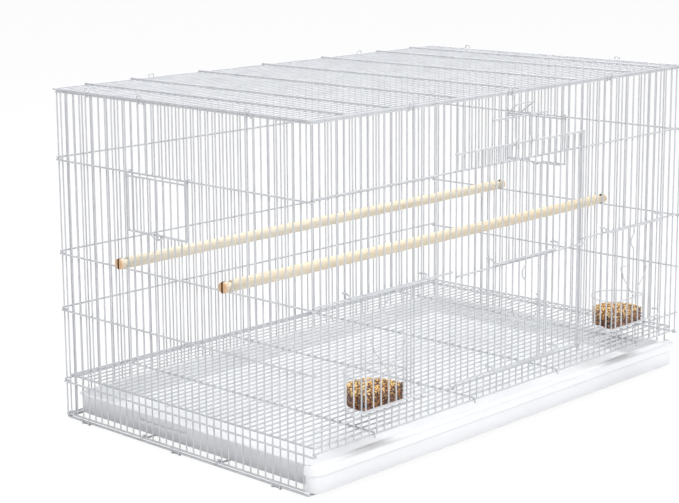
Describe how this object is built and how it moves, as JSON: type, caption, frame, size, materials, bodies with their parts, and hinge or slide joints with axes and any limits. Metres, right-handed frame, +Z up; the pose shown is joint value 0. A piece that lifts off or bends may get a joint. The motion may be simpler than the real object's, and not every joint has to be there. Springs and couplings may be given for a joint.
{
  "type": "flight cage",
  "caption": "Low, wide wire flight cage for small birds, with hinged, sliding and side doors, perches, seed cups, a wire grate and a slide-out tray.",
  "frame": {"origin": "middle of the footprint, on the surface that the cage stands on", "axes": "+X to the right seen from the front, +Y from the front to the back, +Z up"},
  "size_m": [0.7986, 0.4982, 0.4596],
  "materials": {
    "white_coat": "smooth white powder coat on steel wire",
    "tray_plastic": "satin white moulded plastic",
    "clear_plastic": "clear moulded plastic",
    "perch_wood": "bare turned softwood"
  },
  "bodies": {
    "cage": {"front_panel": "white_coat", "back_panel": "white_coat", "left_side_panel": "white_coat", "right_side_panel": "white_coat", "roof_panel": "white_coat", "base_frame": "white_coat", "roof_clip_front_1": "white_coat", "roof_clip_front_2": "white_coat", "roof_clip_front_3": "white_coat", "roof_clip_back_1": "white_coat", "roof_clip_back_2": "white_coat", "roof_clip_left_1": "white_coat", "roof_clip_left_2": "white_coat", "roof_clip_left_3": "white_coat", "roof_clip_right_1": "white_coat", "roof_clip_right_2": "white_coat"},
    "main_door": {"main_door": "white_coat"},
    "main_door_latch": {"main_door_latch": "white_coat"},
    "feeder_door_left": {"feeder_door_left": "white_coat", "feeder_spring_left": "white_coat"},
    "feeder_door_middle": {"feeder_door_middle": "white_coat", "feeder_spring_middle": "white_coat"},
    "feeder_door_right": {"feeder_door_right": "white_coat", "feeder_spring_right": "white_coat"},
    "side_door_left": {"side_door_left": "white_coat"},
    "side_door_right": {"side_door_right": "white_coat"},
    "perch_back": {"perch_back": "perch_wood"},
    "perch_front": {"perch_front": "perch_wood"},
    "seed_cup_left": {"seed_cup_left": "clear_plastic"},
    "seed_cup_right": {"seed_cup_right": "clear_plastic"},
    "floor_grate": {"floor_grate": "white_coat"},
    "tray": {"tray": "tray_plastic"}
  },
  "joints": [
    {"name": "main_door_hinge", "type": "hinge", "parent": "cage", "child": "main_door", "pos_m": [0, -0.23735, 0.0842], "axis": [1, 0, 0], "range_deg": [0, 90]},
    {"name": "main_door_latch_hinge", "type": "hinge", "parent": "main_door", "child": "main_door_latch", "pos_m": [0, -0.24215, 0.3857], "axis": [1, 0, 0], "range_deg": [0, 45]},
    {"name": "feeder_door_left_slide", "type": "slide", "parent": "cage", "child": "feeder_door_left", "axis": [0, 0, 1], "range_m": [0, 0.115]},
    {"name": "feeder_door_middle_slide", "type": "slide", "parent": "main_door", "child": "feeder_door_middle", "axis": [0, 0, 1], "range_m": [0, 0.115]},
    {"name": "feeder_door_right_slide", "type": "slide", "parent": "cage", "child": "feeder_door_right", "axis": [0, 0, 1], "range_m": [0, 0.115]},
    {"name": "side_door_left_hinge", "type": "hinge", "parent": "cage", "child": "side_door_left", "pos_m": [-0.38975, 0.03067, 0.3595], "axis": [0, 1, 0], "range_deg": [0, 130]},
    {"name": "side_door_right_hinge", "type": "hinge", "parent": "cage", "child": "side_door_right", "pos_m": [0.38975, 0.03067, 0.3595], "axis": [0, -1, 0], "range_deg": [0, 130]},
    {"name": "perch_back_slide", "type": "slide", "parent": "cage", "child": "perch_back", "axis": [0, 0, 1], "range_m": [0, 0.11]},
    {"name": "perch_front_slide", "type": "slide", "parent": "cage", "child": "perch_front", "axis": [0, 0, 1], "range_m": [0, 0.11]},
    {"name": "seed_cup_left_slide", "type": "slide", "parent": "cage", "child": "seed_cup_left", "axis": [0, 0, 1], "range_m": [0, 0.1]},
    {"name": "seed_cup_right_slide", "type": "slide", "parent": "cage", "child": "seed_cup_right", "axis": [0, 0, 1], "range_m": [0, 0.1]},
    {"name": "floor_grate_slide", "type": "slide", "parent": "cage", "child": "floor_grate", "axis": [0, 0, 1], "range_m": [0, 0.015]},
    {"name": "tray_slide", "type": "slide", "parent": "cage", "child": "tray", "axis": [0, -1, 0], "range_m": [0, 0.4]}
  ]
}
